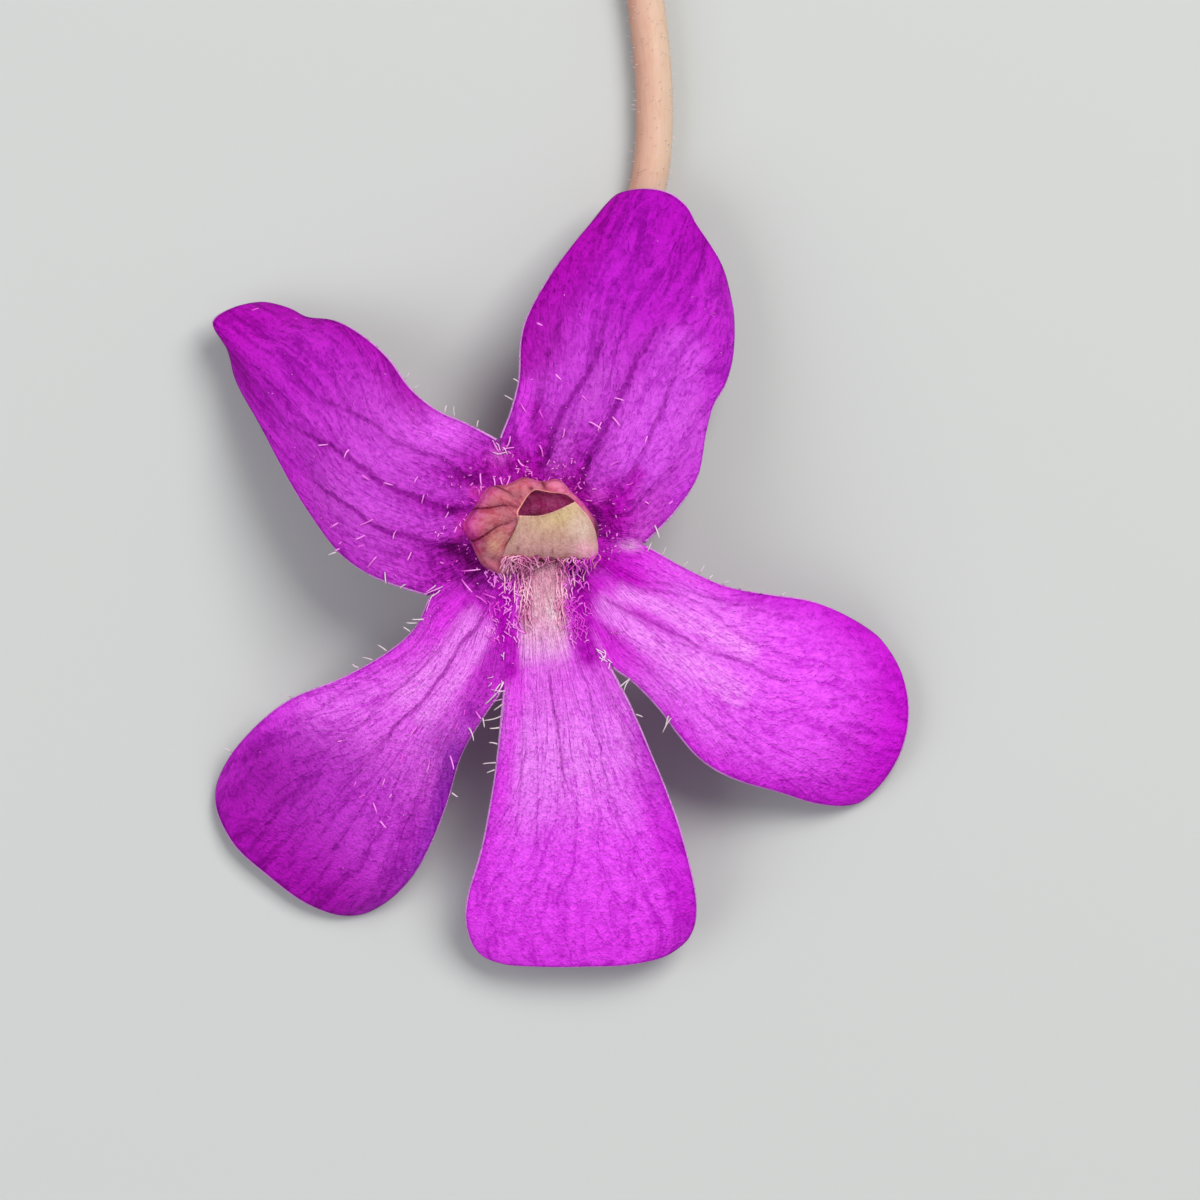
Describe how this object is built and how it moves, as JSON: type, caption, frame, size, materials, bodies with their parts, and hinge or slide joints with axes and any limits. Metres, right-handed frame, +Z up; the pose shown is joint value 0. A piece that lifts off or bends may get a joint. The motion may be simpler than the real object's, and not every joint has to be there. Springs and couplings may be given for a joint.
{
  "type": "butterwort flower",
  "caption": "Butterwort flower lying face up: flat magenta corolla with separate lobes, a domed stigma in its throat, a slender spur, a small calyx and a long bare scape.",
  "frame": {"origin": "on the surface that the flower lies on, under the level underside of the scape near the flower's centre of mass", "axes": "+Z up, out of the flower's face; +Y along the scape from the flower to its cut end; +X to the right seen from above"},
  "size_m": [0.0299, 0.0767, 0.0077],
  "materials": {
    "petal": "soft velvet",
    "stigma": "soft velvet",
    "anther": "mealy",
    "calyx": "satin, glandular",
    "scape": "satin"
  },
  "bodies": {
    "root": {"corolla": "petal", "pistil": "stigma", "stamen_left": "anther", "stamen_right": "anther", "calyx": "calyx", "scape": "scape"}
  },
  "joints": []
}
